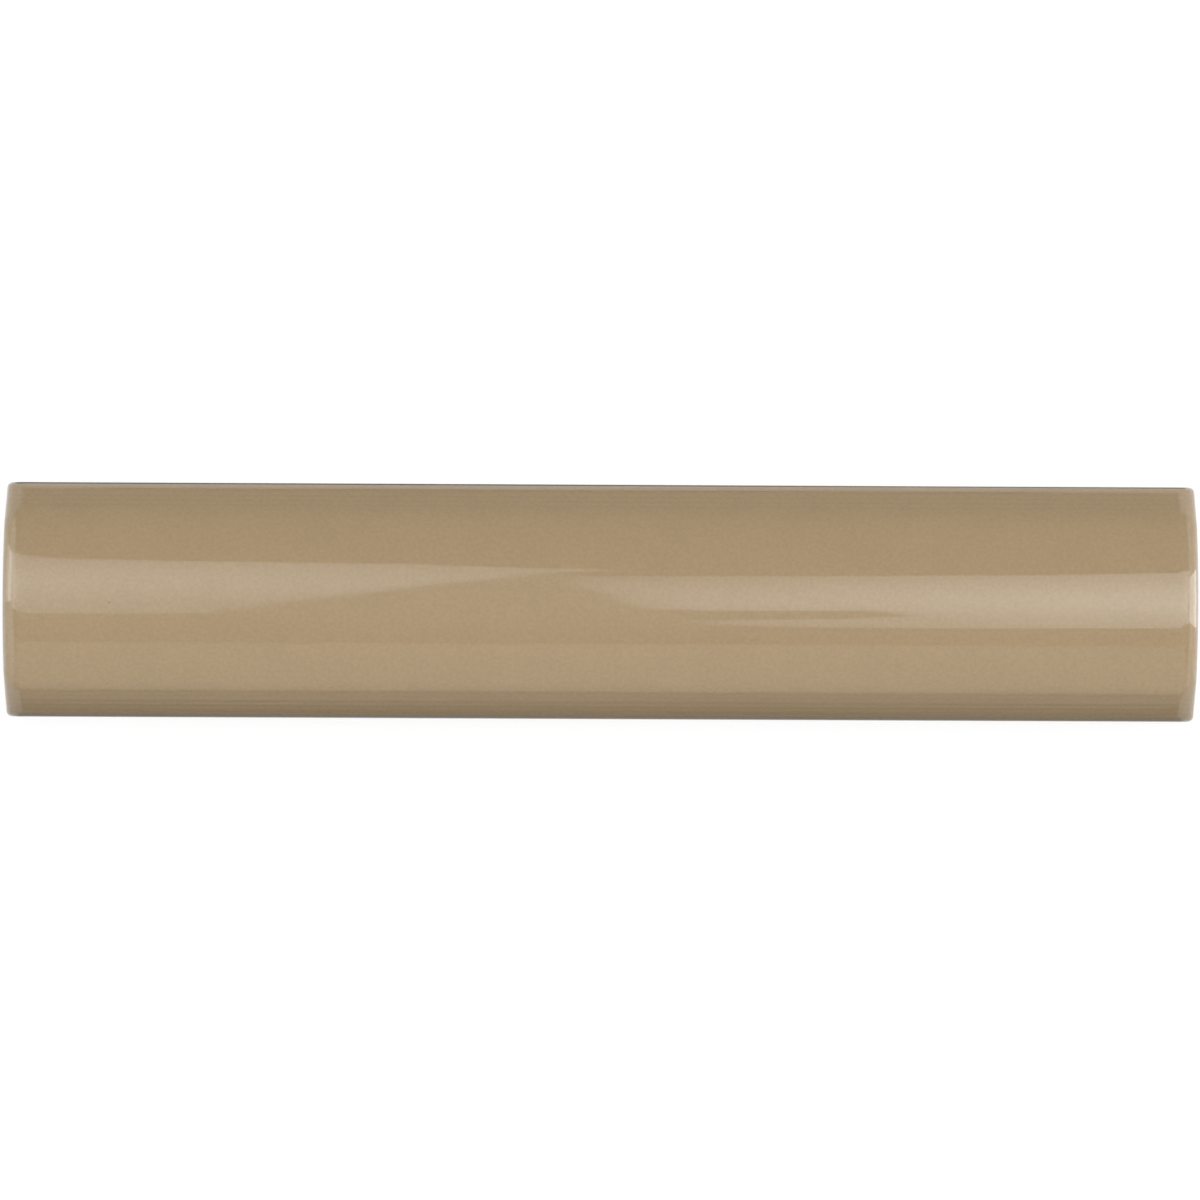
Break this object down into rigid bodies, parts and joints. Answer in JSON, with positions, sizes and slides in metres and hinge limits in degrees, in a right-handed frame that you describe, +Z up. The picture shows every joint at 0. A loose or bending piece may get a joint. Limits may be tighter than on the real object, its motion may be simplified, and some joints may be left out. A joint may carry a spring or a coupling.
{
  "type": "outside corner tile",
  "caption": "Long glazed ceramic trim tile with a rounded face and a right-angled seat in its back, used to cover and protect the outside corner where two tiled walls meet.",
  "frame": {"origin": "middle of the plane the two feet stand on", "axes": "+X along the tile's length, +Y across it, +Z up through the crown of the glazed face"},
  "size_m": [0.152, 0.03, 0.015],
  "materials": {
    "glazed_tile": "glossy beige glaze"
  },
  "bodies": {
    "root": {"corner_tile": "glazed_tile"}
  },
  "joints": []
}
